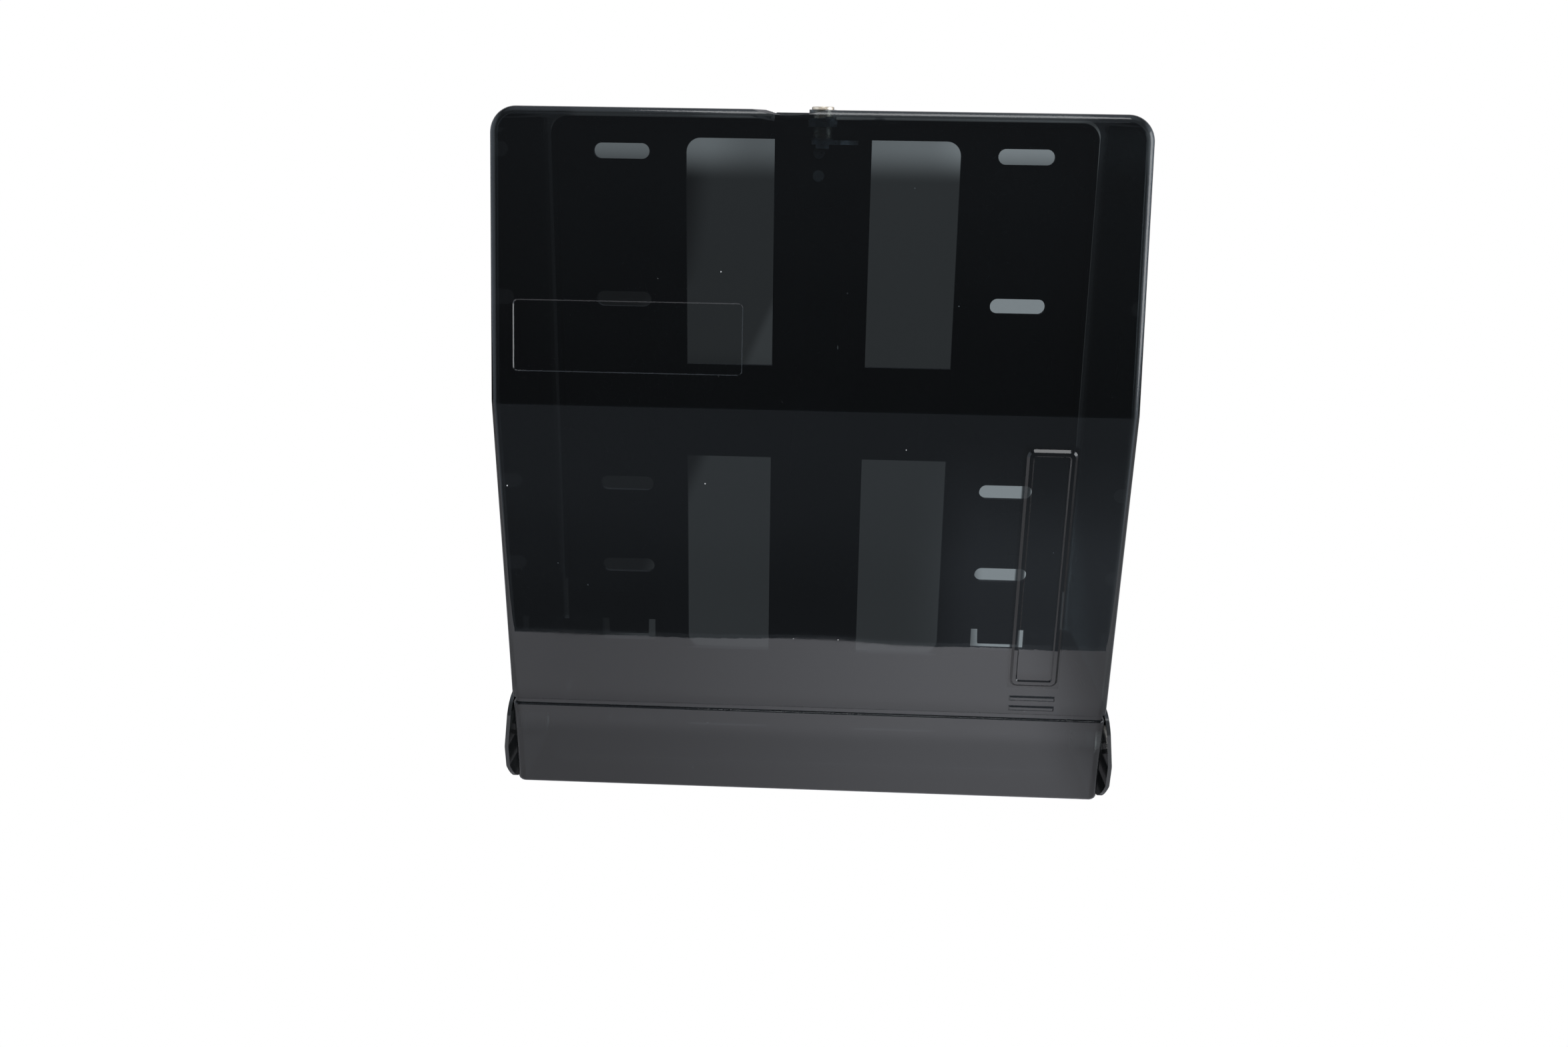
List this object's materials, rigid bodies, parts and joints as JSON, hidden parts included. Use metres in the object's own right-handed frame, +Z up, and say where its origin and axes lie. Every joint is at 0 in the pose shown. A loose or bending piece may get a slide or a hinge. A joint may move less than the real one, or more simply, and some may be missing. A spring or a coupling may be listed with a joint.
{
  "type": "folded napkin dispenser",
  "caption": "Wall-hung dispenser for folded paper napkins: smoked see-through hinged cover over a black windowed back plate, with a bottom tray mouth and a key lock on top.",
  "frame": {"origin": "on the wall face, on the centre line, level with the cover's lower front edge", "axes": "+X to the right as seen from the front, +Y into the wall, +Z up; the front faces -Y"},
  "size_m": [0.286, 0.1299, 0.3114],
  "materials": {
    "smoked_plastic": "smoked see-through gloss",
    "black_gloss": "black gloss",
    "black_plate": "black satin",
    "zinc_steel": "zinc plated",
    "bright_steel": "ground",
    "nickel_brass": "worn nickel on brass",
    "grey_nylon": "natural",
    "clear_rubber": "clear soft bumper"
  },
  "bodies": {
    "base": {"back_plate": "black_plate", "left_side_arm": "black_gloss", "right_side_arm": "black_gloss", "arm_screws": "zinc_steel", "dispensing_tray": "black_plate", "tray_screws": "zinc_steel", "latch_keeper": "black_plate", "keeper_screws": "zinc_steel", "top_bumpers": "clear_rubber", "left_hinge_pin": "bright_steel", "right_hinge_pin": "bright_steel"},
    "cover": {"cover_shell": "smoked_plastic", "left_hinge_bush": "grey_nylon", "right_hinge_bush": "grey_nylon", "lock_sleeve": "nickel_brass", "lock_washer": "zinc_steel", "lock_nut": "nickel_brass"},
    "lock": {"lock_barrel": "nickel_brass", "lock_cam": "zinc_steel", "cam_screw": "zinc_steel", "spring_washer": "bright_steel"}
  },
  "joints": [
    {"name": "cover_hinge", "type": "hinge", "parent": "base", "child": "cover", "pos_m": [0, -0.094, 0.017], "axis": [1, 0, 0], "range_deg": [0, 85]},
    {"name": "lock_turn", "type": "hinge", "parent": "cover", "child": "lock", "pos_m": [0, -0.03, 0.291], "axis": [0, 0, 1], "range_deg": [0, 90]}
  ]
}
